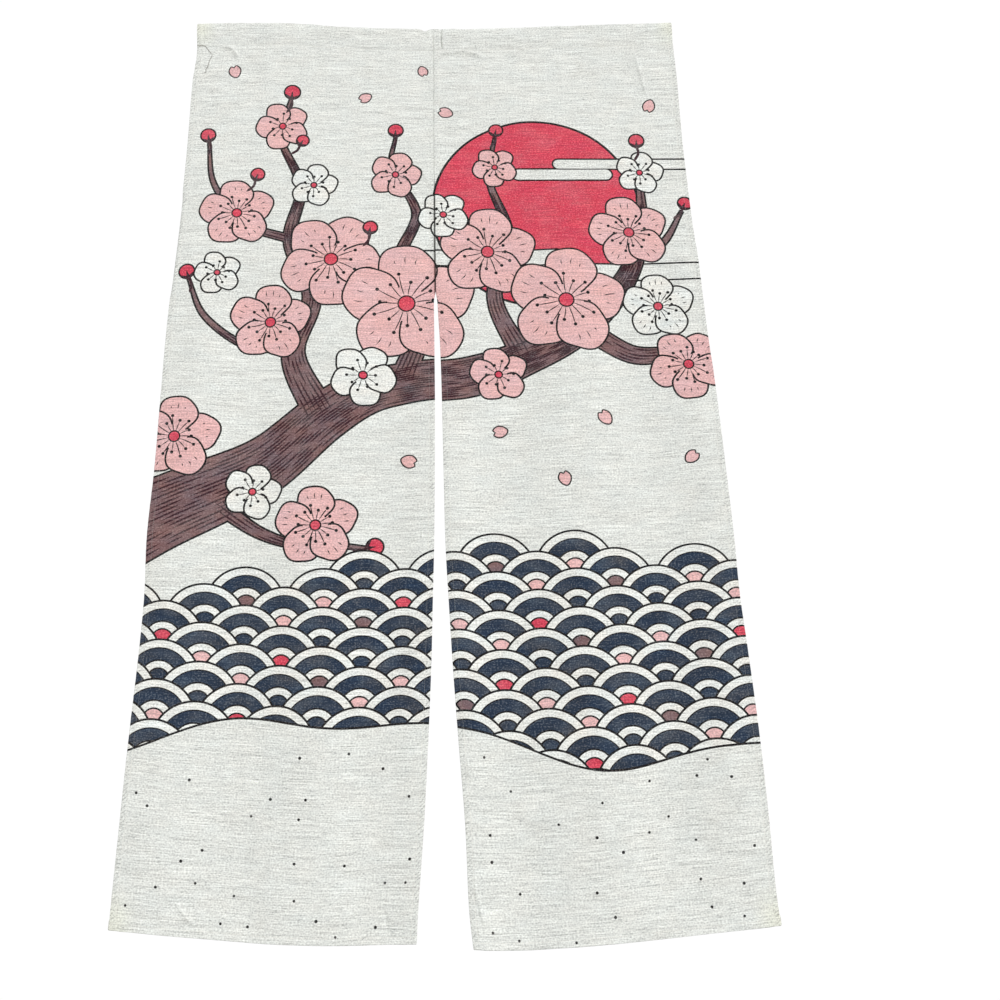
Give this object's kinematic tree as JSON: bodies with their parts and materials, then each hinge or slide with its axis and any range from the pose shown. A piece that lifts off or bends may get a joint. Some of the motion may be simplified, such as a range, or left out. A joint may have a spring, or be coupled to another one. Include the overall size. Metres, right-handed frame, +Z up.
{
  "type": "noren curtain",
  "caption": "Noren door curtain: cloth panels sewn side by side below a rod sleeve, with a long slit between them to walk through.",
  "frame": {"origin": "middle of the curtain's top line, where a rod carries it", "axes": "+Z up along the hanging cloth, -Y out of its printed front, +X along the rod to the right as seen from the front"},
  "size_m": [0.9355, 0.0126, 1.5146],
  "materials": {
    "cloth": "matt slubbed plain weave",
    "thread": "matt sewing thread"
  },
  "bodies": {
    "root": {"heading": "cloth", "panel_left": "cloth", "panel_right": "cloth"}
  },
  "joints": []
}
